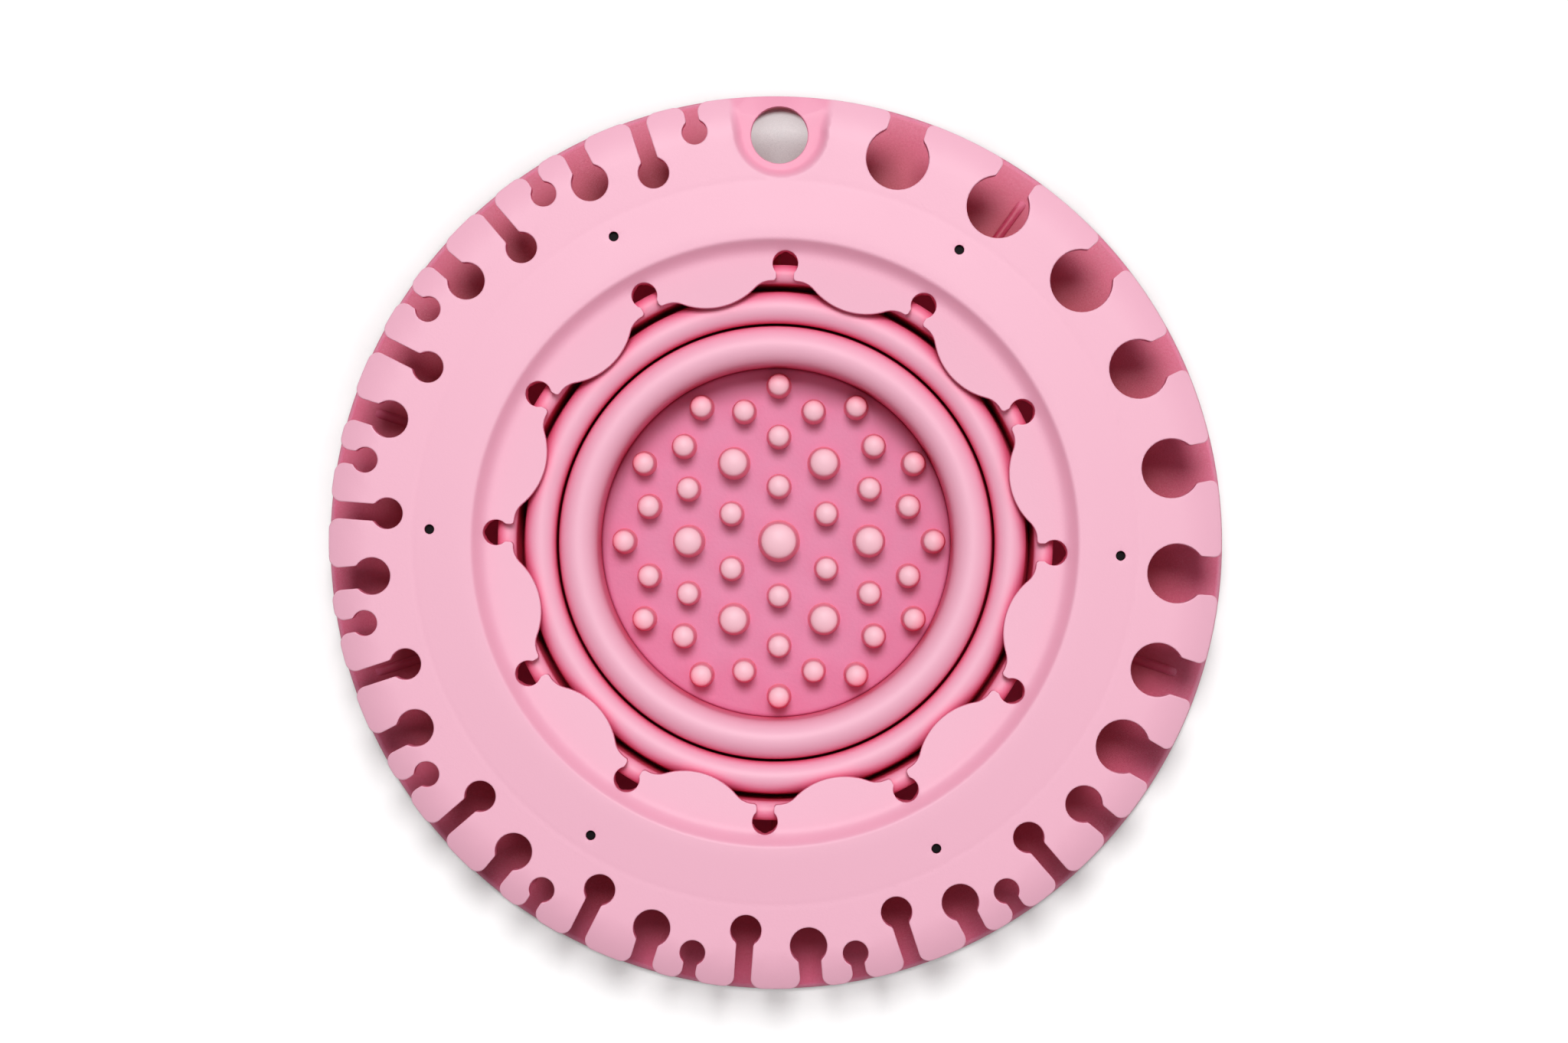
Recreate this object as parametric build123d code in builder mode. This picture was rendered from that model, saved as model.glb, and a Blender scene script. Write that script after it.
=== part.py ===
"""Collapsible silicone bowl for washing make-up brushes, with a lift-off drying rack.

The bowl is modelled collapsed, as it is stored: three ring folds nest inside each other
round a floor of soft scrubbing nubs, and the round rack lies over them like a brim.
Pulled up, each web between two folds flips over and lifts the next fold by twice its
height. The rack holds brushes by their handles in keyholes that open to its rim.

Millimetres. Origin: centre of the underside of the base. +Z is up, and +Y points at
the tab with the hanging hole.
"""
import os
from math import atan2, cos, degrees, hypot, pi, sin

from build123d import *

os.makedirs("parts", exist_ok=True)

# ---------------------------------------------------------------- driving dimensions
# Folds: walls, crowns and the clearances between them
fold_wall = 1.6
web_wall = 0.8
seat_gap = 0.3               # between pieces that rest on each other
fold_top_z = 18.0            # where each web hangs from its crown
foot_splay = 0.8             # the middle fold's foot stands this much wider than its top
rim_drop = 0.7               # the outer crown lies this much below the inner one
crown_sides = 6              # flats of a half-round crown

inner_roll_radius = 35.4     # inside of the bowl at rest
inner_roll_width = 6.8
middle_roll_width = 5.6
outer_roll_width = 5.0
groove_width = 0.9           # open groove between the inner and middle crowns
rim_groove_width = 1.8       # open groove between the middle and outer crowns

# Scrubbing floor
floor_thickness = 2.0
floor_gap = 0.3
nub_sides = 10
nub_taper = 0.6              # tip radius of a nub as a share of its root radius
large_nub = (3.55, 9.0)      # root radius, height
medium_nub = (2.8, 8.0)
small_nub = (2.15, 7.0)
nub_ring_shares = (0.0, 0.306, 0.501, 0.584, 0.752, 0.866, 0.875)  # of the floor's radius
nub_ring_counts = (1, 6, 6, 6, 12, 6, 6)
nub_ring_angles = (0.0, 30.0, 0.0, 30.0, 15.0, 0.0, 30.0)
nub_ring_sizes = (large_nub, small_nub, medium_nub, small_nub, small_nub, small_nub, small_nub)

# Base: a flat drip disc that the bowl stands on
base_overhang = 3.0          # how far the disc reaches past the rack
base_edge_bevel = 1.1
flange_thickness = 2.6
hub_thickness = 3.8
hub_margin = 2.5             # of the thick hub round the outer fold
rib_count = 10
rib_first_angle = 18.0
rib_width = 1.3
rib_end_inset = 5.0          # from the disc's edge
base_eye_margin = 2.8        # how much wider the eye is than the rack's hanging hole

# Rack: brim, slope and ring of petals
rack_radius = 88.0
brim_thickness = 4.0
petal_ring_thickness = 2.0
petal_sink = 3.0             # from the brim's face down to the petals' face
slope_run = 4.2              # plan width of the slope between petals and brim
slope_start = 1.6            # the slope is gentle over this run
locating_rib_gap = 0.5
locating_rib_wall = 1.4
locating_rib_depth = 3.4

# Rim keyholes: (hole centre's distance from the rim, hole radius, slot width)
small_keyhole = (5.8, 2.5, 2.6)
medium_keyhole = (11.6, 3.05, 3.3)
large_keyhole = (8.5, 3.65, 4.4)
row_count = 10
row_pitch_angle = 22.5
small_first_angle = 101.1
medium_first_angle = 108.2
large_first_angle = 117.25
thick_inset = 8.8
thick_slot_width = 7.5
thick_hole_radii = (6.2, 6.2, 6.2, 5.85, 5.85, 5.85, 5.3, 5.3)
thick_angles = (72.3, 56.4, 40.5, 25.5, 10.6, -4.4, -18.4, -30.4)
mouth_chamfer = 1.2          # corners of the tabs at the rim
hole_sides = 12              # of every keyhole's round end

# Petals and their keyholes
petal_count = 12
petal_keyhole_angle = -2.1
petal_overhang = 1.0         # of the petals' tips over the middle crown
petal_length = 3.95          # from tip to valley
petal_lobe_radius = 13.5
petal_fillet = 4.6
petal_hole_inset = 3.4       # hole centre from the valley
petal_hole_radius = 2.5
petal_slot_width = 3.4
petal_hole_to_foot = 0.55    # from the hole's centre to the foot of the slope

# Hanging tab
hanging_hole_radius = 5.6
hanging_hole_inset = 8.4
tab_floor_thickness = 2.0
tab_half_width = 8.6         # of the sunk floor, at the rim
tab_round_radius = 7.6       # of the sunk floor's inner end
tab_round_inset = 7.5
tab_wall_run = 1.7           # how far the sloping wall leans out over its height

# Stiffener, moulded into the brim
stiffener_margin = 1.1       # from the slope's top edge
stiffener_keyhole_margin = 2.7
stiffener_thickness = 1.2
stiffener_cover = 1.4        # silicone above it
pinhole_count = 6
pinhole_radius = 1.05
pinhole_place = 0.74         # share of the way across the stiffener
pinhole_first_angle = 57.8
pinhole_sides = 8

# ---------------------------------------------------------------- derived places
fold_foot_z = hub_thickness + seat_gap
fold_rise = 2 * (fold_top_z - fold_foot_z)

inner_roll_outer = inner_roll_radius + inner_roll_width
middle_roll_inner = inner_roll_outer + groove_width
middle_roll_outer = middle_roll_inner + middle_roll_width
outer_roll_inner = middle_roll_outer + rim_groove_width
outer_roll_outer = outer_roll_inner + outer_roll_width
floor_radius = inner_roll_radius - floor_gap

inner_crown_z = fold_top_z + inner_roll_width / 2
outer_crown_z = inner_crown_z - rim_drop
outer_arch_z = outer_crown_z - outer_roll_width / 2
petal_bottom_z = outer_crown_z + seat_gap
petal_top_z = petal_bottom_z + petal_ring_thickness
brim_top_z = petal_top_z + petal_sink
brim_bottom_z = brim_top_z - brim_thickness
rack_low_z = petal_bottom_z - locating_rib_depth
stiffener_top_z = brim_top_z - stiffener_cover

base_radius = rack_radius + base_overhang
hub_radius = outer_roll_inner + fold_wall + hub_margin
hanging_hole_y = rack_radius - hanging_hole_inset
base_eye_radius = hanging_hole_radius + base_eye_margin

petal_tip_radius = middle_roll_outer - petal_overhang
petal_valley_radius = petal_tip_radius + petal_length
petal_hole_centre_radius = petal_valley_radius + petal_hole_inset
slope_foot_radius = petal_hole_centre_radius + petal_hole_to_foot
slope_top_radius = slope_foot_radius + slope_run
rib_inner_radius = outer_roll_outer + locating_rib_gap
rib_outer_radius = rib_inner_radius + locating_rib_wall

stiffener_inner_radius = slope_top_radius + stiffener_margin
deepest_keyhole = thick_inset + max(thick_hole_radii)
stiffener_outer_radius = rack_radius - deepest_keyhole - stiffener_keyhole_margin
stiffener_width = stiffener_outer_radius - stiffener_inner_radius
pinhole_circle_radius = stiffener_inner_radius + pinhole_place * stiffener_width


# ---------------------------------------------------------------- shared sections
def fold_section(inside, width, arch_z, foot_z, splay=0.0):
    """Section of one ring fold: a leg, and a crown that turns outwards in a half circle."""
    centre = inside + width / 2
    crown_radius = width / 2
    hollow_radius = crown_radius - fold_wall
    turns = [pi * (1 - step / crown_sides) for step in range(crown_sides + 1)]
    crown = [(centre + crown_radius * cos(t), arch_z + crown_radius * sin(t)) for t in turns]
    with BuildSketch(Plane.XZ) as section:
        with BuildLine():
            Polyline(
                (inside + splay, foot_z),
                *crown,
                (centre + hollow_radius, arch_z),
                (centre, arch_z + hollow_radius),
                (centre - hollow_radius, arch_z),
                (inside + fold_wall + splay, foot_z),
                close=True,
            )
        make_face()
    return section.sketch


def web_section(crown_outside, foot_outside):
    """Section of a thin web: from the outside of a crown down to the next fold's foot."""
    with BuildSketch(Plane.XZ) as section:
        with BuildLine():
            Polyline(
                (crown_outside - web_wall, fold_top_z),
                (crown_outside, fold_top_z),
                (foot_outside, fold_foot_z),
                (foot_outside - web_wall, fold_foot_z),
                close=True,
            )
        make_face()
    return section.sketch


def nub(radius, height):
    """One soft scrubbing nub, a tapered pin with its root on the XY plane."""
    with BuildPart() as pin:
        with BuildSketch(Plane.XY):
            RegularPolygon(radius, nub_sides, major_radius=False)
        extrude(amount=height, taper=degrees(atan2(radius * (1 - nub_taper), height)))
    return pin.part


# ---------------------------------------------------------------- base disc
with BuildPart() as base_disc:
    with BuildSketch(Plane.XZ):
        with BuildLine():
            Polyline(
                (0, flange_thickness),
                (0, 0),
                (base_radius - base_edge_bevel, 0),
                (base_radius, base_edge_bevel),
                (base_radius, flange_thickness - base_edge_bevel),
                (base_radius - base_edge_bevel, flange_thickness),
                close=True,
            )
        make_face()
    revolve(axis=Axis.Z)
    # the hub and its radial ribs are one raised face
    with BuildSketch(Plane.XY.offset(flange_thickness)):
        Circle(hub_radius)
        with PolarLocations(0, rib_count, start_angle=rib_first_angle):
            Rectangle(base_radius - rib_end_inset, rib_width, align=(Align.MIN, Align.CENTER))
    extrude(amount=hub_thickness - flange_thickness)
    with Locations((0, hanging_hole_y, 0)):
        Hole(base_eye_radius)

base_disc.part.label = "base_disc"
export_step(base_disc.part, "parts/base_disc.step")

# ---------------------------------------------------------------- scrubbing floor
with BuildPart() as scrub_floor:
    with BuildSketch(Plane.XY.offset(hub_thickness)):
        Circle(floor_radius)
    extrude(amount=floor_thickness)
    nub_rings = zip(nub_ring_shares, nub_ring_counts, nub_ring_angles, nub_ring_sizes)
    for share, count, first_angle, size in nub_rings:
        one_nub = nub(*size)
        with Locations((0, 0, hub_thickness + floor_thickness)):
            with PolarLocations(share * floor_radius, count, start_angle=first_angle):
                add(one_nub)

scrub_floor.part.label = "scrub_floor"
export_step(scrub_floor.part, "parts/scrub_floor.step")

# ---------------------------------------------------------------- folds and webs
with BuildPart() as inner_roll:
    add(fold_section(inner_roll_radius, inner_roll_width, fold_top_z, hub_thickness))
    revolve(axis=Axis.Z)

inner_roll.part.label = "inner_roll"
export_step(inner_roll.part, "parts/inner_roll.step")

with BuildPart() as inner_web:
    add(web_section(inner_roll_outer, middle_roll_inner + foot_splay - seat_gap))
    revolve(axis=Axis.Z)

inner_web.part.label = "inner_web"
export_step(inner_web.part, "parts/inner_web.step")

with BuildPart() as middle_roll:
    add(fold_section(middle_roll_inner, middle_roll_width, fold_top_z, fold_foot_z, foot_splay))
    revolve(axis=Axis.Z)

middle_roll.part.label = "middle_roll"
export_step(middle_roll.part, "parts/middle_roll.step")

with BuildPart() as outer_web:
    add(web_section(middle_roll_outer, outer_roll_inner - seat_gap))
    revolve(axis=Axis.Z)

outer_web.part.label = "outer_web"
export_step(outer_web.part, "parts/outer_web.step")

with BuildPart() as outer_roll:
    add(fold_section(outer_roll_inner, outer_roll_width, outer_arch_z, fold_foot_z))
    revolve(axis=Axis.Z)

outer_roll.part.label = "outer_roll"
export_step(outer_roll.part, "parts/outer_roll.step")


# ---------------------------------------------------------------- rack
def polar(point):
    """Radius and angle in degrees of a point or vertex."""
    return hypot(point.X, point.Y), degrees(atan2(point.Y, point.X))


def rim_keyholes(inset, hole_radius, slot_width, angles):
    """Cut keyholes that open outwards through the rim, one at each angle."""
    for angle in angles:
        with PolarLocations(rack_radius - inset, 1, start_angle=angle):
            RegularPolygon(hole_radius, hole_sides, major_radius=False, mode=Mode.SUBTRACT)
            Rectangle(
                rack_radius, slot_width, align=(Align.MIN, Align.CENTER), mode=Mode.SUBTRACT
            )


def row_angles(first_angle):
    """Angles of one evenly spaced row of keyholes."""
    return [first_angle + index * row_pitch_angle for index in range(row_count)]


# Plan of the brim with all rim keyholes; its seam lies in the mouth of one of them
with BuildSketch(Plane.XY.offset(rack_low_z)) as brim_plan:
    with Locations(Location((0, 0, 0), (0, 0, thick_angles[0]))):
        Circle(rack_radius)
    rim_keyholes(*small_keyhole, row_angles(small_first_angle))
    rim_keyholes(*medium_keyhole, row_angles(medium_first_angle))
    rim_keyholes(*large_keyhole, row_angles(large_first_angle))
    for angle, hole_radius in zip(thick_angles, thick_hole_radii):
        rim_keyholes(thick_inset, hole_radius, thick_slot_width, [angle])
    mouths = [v for v in brim_plan.vertices() if polar(v)[0] > rack_radius - 0.01]
    chamfer(mouths, mouth_chamfer)

# Plan of the opening inside the petals, with the inner keyholes, the first one along +X
with BuildSketch(Plane.XY) as petal_opening:
    Circle(petal_valley_radius)
    with PolarLocations(
        petal_tip_radius + petal_lobe_radius, petal_count, start_angle=180 / petal_count
    ):
        Circle(petal_lobe_radius, mode=Mode.SUBTRACT)
    lobe_corners = [v for v in petal_opening.vertices() if abs(v.Y) > 0.01]
    fillet(lobe_corners, petal_fillet)
    with PolarLocations(petal_hole_centre_radius, petal_count):
        RegularPolygon(petal_hole_radius, hole_sides, major_radius=False)
        Rectangle(
            petal_hole_centre_radius - petal_tip_radius,
            petal_slot_width,
            align=(Align.MAX, Align.CENTER),
        )

with BuildPart() as rack_plate:
    with BuildSketch(Plane.XZ):
        with BuildLine():
            Polyline(
                (petal_tip_radius - 1, petal_top_z),
                (petal_tip_radius - 1, petal_bottom_z),
                (rib_inner_radius, petal_bottom_z),
                (rib_inner_radius, rack_low_z),
                (rib_outer_radius, rack_low_z),
                (rib_outer_radius, petal_bottom_z),
                (slope_top_radius, brim_bottom_z),
                (rack_radius, brim_bottom_z),
                (rack_radius, brim_top_z),
                (slope_top_radius, brim_top_z),
                (slope_foot_radius + slope_start, petal_top_z + slope_start / 2),
                (slope_foot_radius, petal_top_z),
                close=True,
            )
        make_face()
    revolve(axis=Axis.Z)
    add(brim_plan.sketch)
    extrude(amount=brim_top_z - rack_low_z, mode=Mode.INTERSECT)
    with Locations(Location((0, 0, rack_low_z), (0, 0, petal_keyhole_angle))):
        add(
            extrude(petal_opening.sketch, amount=brim_top_z - rack_low_z, mode=Mode.PRIVATE),
            mode=Mode.SUBTRACT,
        )

    # sunk tab with sloping walls, open to the rim, and the hanging hole in it
    tab_depth = brim_thickness - tab_floor_thickness
    tab_round_y = rack_radius - tab_round_inset
    with BuildSketch(Plane.XY.offset(brim_top_z - tab_depth)):
        with Locations((0, tab_round_y)):
            Circle(tab_round_radius)
        with BuildLine():
            Polyline(
                (-tab_round_radius, tab_round_y),
                (tab_round_radius, tab_round_y),
                (tab_half_width, rack_radius + tab_wall_run),
                (-tab_half_width, rack_radius + tab_wall_run),
                close=True,
            )
        make_face()
    extrude(amount=tab_depth, taper=-degrees(atan2(tab_wall_run, tab_depth)), mode=Mode.SUBTRACT)
    with BuildSketch(Plane.XY.offset(brim_bottom_z)):
        with Locations((0, hanging_hole_y)):
            Circle(hanging_hole_radius)
    extrude(amount=brim_thickness, mode=Mode.SUBTRACT)

    # sealed space for the stiffener, and the pinholes that held it in the mould
    with BuildSketch(Plane.XY.offset(stiffener_top_z)):
        Circle(stiffener_outer_radius)
        Circle(stiffener_inner_radius, mode=Mode.SUBTRACT)
    extrude(amount=-stiffener_thickness, mode=Mode.SUBTRACT)
    with BuildSketch(Plane.XY.offset(brim_top_z)):
        with PolarLocations(pinhole_circle_radius, pinhole_count, start_angle=pinhole_first_angle):
            RegularPolygon(pinhole_radius, pinhole_sides)
    extrude(amount=-stiffener_cover, mode=Mode.SUBTRACT)

rack_plate.part.label = "rack_plate"
export_step(rack_plate.part, "parts/rack_plate.step")

with BuildPart() as stiffener_ring:
    with BuildSketch(Plane.XY.offset(stiffener_top_z)):
        Circle(stiffener_outer_radius)
        Circle(stiffener_inner_radius, mode=Mode.SUBTRACT)
    extrude(amount=-stiffener_thickness)

stiffener_ring.part.label = "stiffener_ring"
export_step(stiffener_ring.part, "parts/stiffener_ring.step")

# ---------------------------------------------------------------- what was made
pieces = (
    base_disc,
    scrub_floor,
    inner_roll,
    inner_web,
    middle_roll,
    outer_web,
    outer_roll,
    rack_plate,
    stiffener_ring,
)
for piece in pieces:
    box = piece.part.bounding_box()
    print(f"{piece.part.label}: {piece.part.volume:.0f} mm3, z {box.min.Z:.1f} to {box.max.Z:.1f}")
print(f"each fold rises {fold_rise:.2f} mm; whole height at rest {brim_top_z:.1f} mm")
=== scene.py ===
# %% [markdown]
# # A folding bowl for washing make-up brushes, in soft pink silicone
# The bowl is stored flat: three ring folds nest round a floor of scrubbing nubs, and a round
# rack with keyholes for brush handles lies over them. All of it is moulded silicone, so every
# edge is rounded and every face is a little dull. The lesson builds each moulding from a few
# sizes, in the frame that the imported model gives, and rides each one on the body it moves with.

# %% Load the frame
from math import atan2, ceil, cos, pi, radians, sin, sqrt

import bpy
import numpy as np
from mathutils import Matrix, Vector
from mathutils.geometry import delaunay_2d_cdt
from mathutils.kdtree import KDTree


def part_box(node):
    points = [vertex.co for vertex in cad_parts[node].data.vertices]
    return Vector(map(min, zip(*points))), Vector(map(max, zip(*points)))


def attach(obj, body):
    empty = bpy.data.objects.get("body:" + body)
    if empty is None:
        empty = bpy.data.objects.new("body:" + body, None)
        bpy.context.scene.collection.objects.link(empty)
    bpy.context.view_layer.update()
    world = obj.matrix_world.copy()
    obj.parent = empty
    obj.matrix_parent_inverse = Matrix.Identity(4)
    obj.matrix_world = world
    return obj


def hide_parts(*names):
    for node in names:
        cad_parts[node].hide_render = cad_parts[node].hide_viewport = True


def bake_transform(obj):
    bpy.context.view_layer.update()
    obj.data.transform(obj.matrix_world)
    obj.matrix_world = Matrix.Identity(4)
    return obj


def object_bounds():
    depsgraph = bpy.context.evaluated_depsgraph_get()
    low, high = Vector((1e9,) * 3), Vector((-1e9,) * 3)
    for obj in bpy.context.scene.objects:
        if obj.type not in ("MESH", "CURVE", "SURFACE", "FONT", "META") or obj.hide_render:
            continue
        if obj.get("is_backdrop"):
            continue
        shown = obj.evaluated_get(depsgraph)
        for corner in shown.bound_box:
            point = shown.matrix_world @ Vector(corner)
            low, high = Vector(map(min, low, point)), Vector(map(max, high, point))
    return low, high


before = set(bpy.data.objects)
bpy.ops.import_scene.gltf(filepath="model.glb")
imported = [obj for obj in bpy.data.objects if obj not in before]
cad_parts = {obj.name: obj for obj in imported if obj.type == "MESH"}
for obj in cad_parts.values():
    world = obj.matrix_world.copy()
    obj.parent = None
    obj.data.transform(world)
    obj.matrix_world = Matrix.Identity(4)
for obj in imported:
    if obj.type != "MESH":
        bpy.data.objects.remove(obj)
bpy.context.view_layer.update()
MM = 0.001
print("nodes:", ", ".join(sorted(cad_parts)))

# %% [markdown]
# ## Sizes
# The outer sizes are read from the frame's own boxes, so that each visible piece fits the model
# that it stands for. The sizes of keyholes, petals and nubs are those of the moulding itself.
# All of them are in millimetres, and become metres when a mesh is made.


# %% Read the main sizes from the frame
def node_span(node):
    """Largest radius, lowest and highest point of a round node, in millimetres."""
    low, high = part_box(node)
    return high[0] / MM, low[2] / MM, high[2] / MM


rack_radius, rack_low_z, rack_top_z = node_span("rack_plate")
base_radius, table_z, hub_top_z = node_span("base_disc")
inner_roll_outer, floor_seat_z, inner_crown_z = node_span("inner_roll")
middle_roll_outer, fold_foot_z, middle_crown_z = node_span("middle_roll")
outer_roll_outer, outer_foot_z, outer_crown_z = node_span("outer_roll")
stiffener_outer, stiffener_low_z, stiffener_top_z = node_span("stiffener_ring")
web_hang_z = node_span("inner_web")[2]
print(f"rack radius {rack_radius:.1f}, top at {rack_top_z:.1f}, crowns at {inner_crown_z:.1f},",
      f"{middle_crown_z:.1f} and {outer_crown_z:.1f} mm")

# %% [markdown]
# ## Finishes
# Moulded silicone is dull because the mould was blasted: its grain is finer than a tenth of a
# millimetre. The colour is mixed into the rubber, so it hardly varies, but the skin takes up a
# little dust and oil, and that shows as faint clouds. Both effects are needed in every soft
# piece, so they are one node group with named inputs. The texture could also be painted, but
# noise on object coordinates follows every piece with no seams and needs no image.
#
# Two helpers come first. One gives a group its named sockets. The other adds a Math node in one
# line, because a tree of them is hard to read when each takes four.


# %% Add sockets and sums to a node tree
def group_socket(tree, name, kind, value=None, output=False):
    """Add one named socket to a node group."""
    where = "OUTPUT" if output else "INPUT"
    socket = tree.interface.new_socket(name, in_out=where, socket_type=f"NodeSocket{kind}")
    if value is not None:
        socket.default_value = value


def math_node(tree, operation, *values):
    """Add a Math node and return its result. A value is a number, or the output that feeds it."""
    node = tree.nodes.new("ShaderNodeMath")
    node.operation = operation
    for socket, value in zip(node.inputs, values):
        if isinstance(value, bpy.types.NodeSocket):
            tree.links.new(value, socket)
        else:
            socket.default_value = value
    return node.outputs[0]


def input_names(tree):
    """The names of a group's inputs, for printing."""
    return ", ".join(item.name for item in tree.interface.items_tree if item.in_out == "INPUT")


print("helpers for node trees are ready in Blender", bpy.app.version_string)

# %% [markdown]
# Silicone is translucent. In a groove, between the nubs and under the rack, most of the light has
# already passed through the rubber several times, and each pass takes its share of green and
# blue again, so the same pink looks wine red there. Tracing that light inside the rubber would be
# slow, so the group paints that shade into the colour instead. It asks how closed in each point
# is, raises the colour to that power, and paints the deepest hollows darker as well. A
# "painted_deepening" attribute on a mesh shifts the power: it adds painted shade in the rack's
# sunk tab and cove, and takes painted shade away at the thick hub of the drip disc.

# %% Build the parts of the silicone's skin
openness_samples = 4
# How the painted shade grows. The first curve is for the deeper colour. The second is for the
# painted darkening, which stands in for the light that the deepest hollows lose.
hollow_curve = 1.4    # above 1, a shallow hollow stays near the open colour
shade_curve = 3.0     # only the deepest hollows lose light


def noise(tree, place, scale, detail):
    """The value of a Noise Texture, whose place and scale are outputs of other nodes."""
    texture = tree.nodes.new("ShaderNodeTexNoise")
    texture.inputs["Detail"].default_value = detail
    tree.links.new(place, texture.inputs["Vector"])
    tree.links.new(scale, texture.inputs["Scale"])
    return texture.outputs["Fac"]


def hollow_depth(tree, given):
    """How much painted shade a place gets: 0 where it lies open, and 1 where it is closed in."""
    openness = tree.nodes.new("ShaderNodeAmbientOcclusion")
    openness.samples = openness_samples
    tree.links.new(given["Reach of a hollow"], openness.inputs["Distance"])
    depth = tree.nodes.new("ShaderNodeMapRange")
    tree.links.new(openness.outputs["AO"], depth.inputs["Value"])
    tree.links.new(given["Open share"], depth.inputs["From Min"])
    tree.links.new(given["Closed share"], depth.inputs["From Max"])
    return depth.outputs["Result"]


def deepened(tree, given, colour, depth):
    """The colour with painted shade: deepened as if by the light's extra passes, and darker in the
    deepest hollows.
    """
    painted_deepening = tree.nodes.new("ShaderNodeAttribute")
    painted_deepening.attribute_name = "painted_deepening"
    closed = math_node(tree, "POWER", depth, hollow_curve)
    extra = math_node(tree, "MULTIPLY_ADD", closed, given["Painted shade passes"], painted_deepening.outputs["Fac"])
    gamma = tree.nodes.new("ShaderNodeGamma")
    tree.links.new(colour, gamma.inputs["Color"])
    tree.links.new(math_node(tree, "ADD", extra, 1.0), gamma.inputs["Gamma"])
    deepest = math_node(tree, "POWER", depth, shade_curve)
    lost = math_node(tree, "MULTIPLY", deepest, given["Painted shade of a hollow"])
    shaded = tree.nodes.new("ShaderNodeVectorMath")
    shaded.operation = "SCALE"
    tree.links.new(gamma.outputs["Color"], shaded.inputs[0])
    tree.links.new(math_node(tree, "SUBTRACT", 1.0, lost), shaded.inputs["Scale"])
    return shaded.outputs[0]


# The share of the painted shade's extra passes that a half-closed place gets.
print(f"a place that is half closed in gets {0.5 ** hollow_curve:.2f} of the extra passes")

# %% [markdown]
# The group puts these parts together. It gives out a colour, a roughness and a height, and the
# shader itself stays in each material.


# %% Make the node group for the silicone's skin
def moulded_skin_group():
    """Faint clouds, painted shade that deepens the colour in hollows, clouds in the gloss, and the
    grain's height.
    """
    tree = bpy.data.node_groups.new("moulded_skin", "ShaderNodeTree")
    group_socket(tree, "Colour", "Color", (0.92, 0.50, 0.63, 1))
    group_socket(tree, "Dusty colour", "Color", (0.93, 0.56, 0.68, 1))
    numbers = {
        "Painted shade passes": 1.7, "Painted shade of a hollow": 0.0, "Open share": 0.95, "Closed share": 0.05,
        "Reach of a hollow": 0.06, "Cloud scale": 40.0, "Cloud share": 0.3, "Grain scale": 3000.0,
        "Roughness": 0.5, "Roughness spread": 0.08,
    }
    for name, value in numbers.items():
        group_socket(tree, name, "Float", value)
    group_socket(tree, "Colour", "Color", output=True)
    group_socket(tree, "Roughness", "Float", output=True)
    group_socket(tree, "Height", "Float", output=True)

    given = tree.nodes.new("NodeGroupInput").outputs
    result = tree.nodes.new("NodeGroupOutput").inputs
    place = tree.nodes.new("ShaderNodeTexCoord").outputs["Object"]
    clouds = noise(tree, place, given["Cloud scale"], detail=3.0)
    grain = noise(tree, place, given["Grain scale"], detail=2.0)
    mix = tree.nodes.new("ShaderNodeMix")
    mix.data_type = "RGBA"
    tree.links.new(math_node(tree, "MULTIPLY", clouds, given["Cloud share"]), mix.inputs["Factor"])
    tree.links.new(given["Colour"], mix.inputs["A"])
    tree.links.new(given["Dusty colour"], mix.inputs["B"])
    colour = deepened(tree, given, mix.outputs["Result"], hollow_depth(tree, given))
    centred = math_node(tree, "SUBTRACT", clouds, 0.5)
    gloss = math_node(tree, "MULTIPLY_ADD", centred, given["Roughness spread"], given["Roughness"])
    tree.links.new(colour, result["Colour"])
    tree.links.new(gloss, result["Roughness"])
    tree.links.new(grain, result["Height"])
    return tree


moulded_skin = moulded_skin_group()
print("skin inputs:", input_names(moulded_skin))

# %% [markdown]
# Each finish is a Principled BSDF with the group in front of it. The pink was matched where the
# light falls squarely on the brim. The floor of the bowl gets a coarser grain than the rest,
# because that part of the mould was left rough to hold lather. It also gets a darker, deeper pink,
# which paints the shade in the bowl. The nubs get a paler pink, which paints the light that enters
# them from every side. What shows of the drip disc lies under the rack, so its painted shade
# deepens the colour soonest and paints it darker as well.

# %% Make the materials
grain_strength = 0.35


def moulded_finish(name, colour, dusty, roughness=0.5, grain_scale=2600, grain_depth=0.00004,
                   cloud_share=0.3, painted_shade_passes=2.5, closed_share=0.05, open_share=0.91, painted_shade_loss=0.0):
    """A dull moulded material with clouds and grain, and painted shade in hollows.

    painted_shade_passes says how much deeper the painted shade makes the colour. It starts where
    a place is open_share open and is full at closed_share. painted_shade_loss says how much darker
    the colour is painted there.
    """
    material = bpy.data.materials.new(name)
    material.use_nodes = True
    tree = material.node_tree
    shader = tree.nodes["Principled BSDF"]
    skin = tree.nodes.new("ShaderNodeGroup")
    skin.node_tree = moulded_skin
    values = {
        "Colour": (*colour, 1), "Dusty colour": (*dusty, 1), "Roughness": roughness,
        "Grain scale": grain_scale, "Cloud share": cloud_share, "Painted shade passes": painted_shade_passes,
        "Closed share": closed_share, "Open share": open_share, "Painted shade of a hollow": painted_shade_loss,
    }
    for socket, value in values.items():
        skin.inputs[socket].default_value = value
    bump = tree.nodes.new("ShaderNodeBump")
    bump.inputs["Strength"].default_value = grain_strength
    bump.inputs["Distance"].default_value = grain_depth
    tree.links.new(skin.outputs["Colour"], shader.inputs["Base Color"])
    tree.links.new(skin.outputs["Roughness"], shader.inputs["Roughness"])
    tree.links.new(skin.outputs["Height"], bump.inputs["Height"])
    tree.links.new(bump.outputs["Normal"], shader.inputs["Normal"])
    return material


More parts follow.
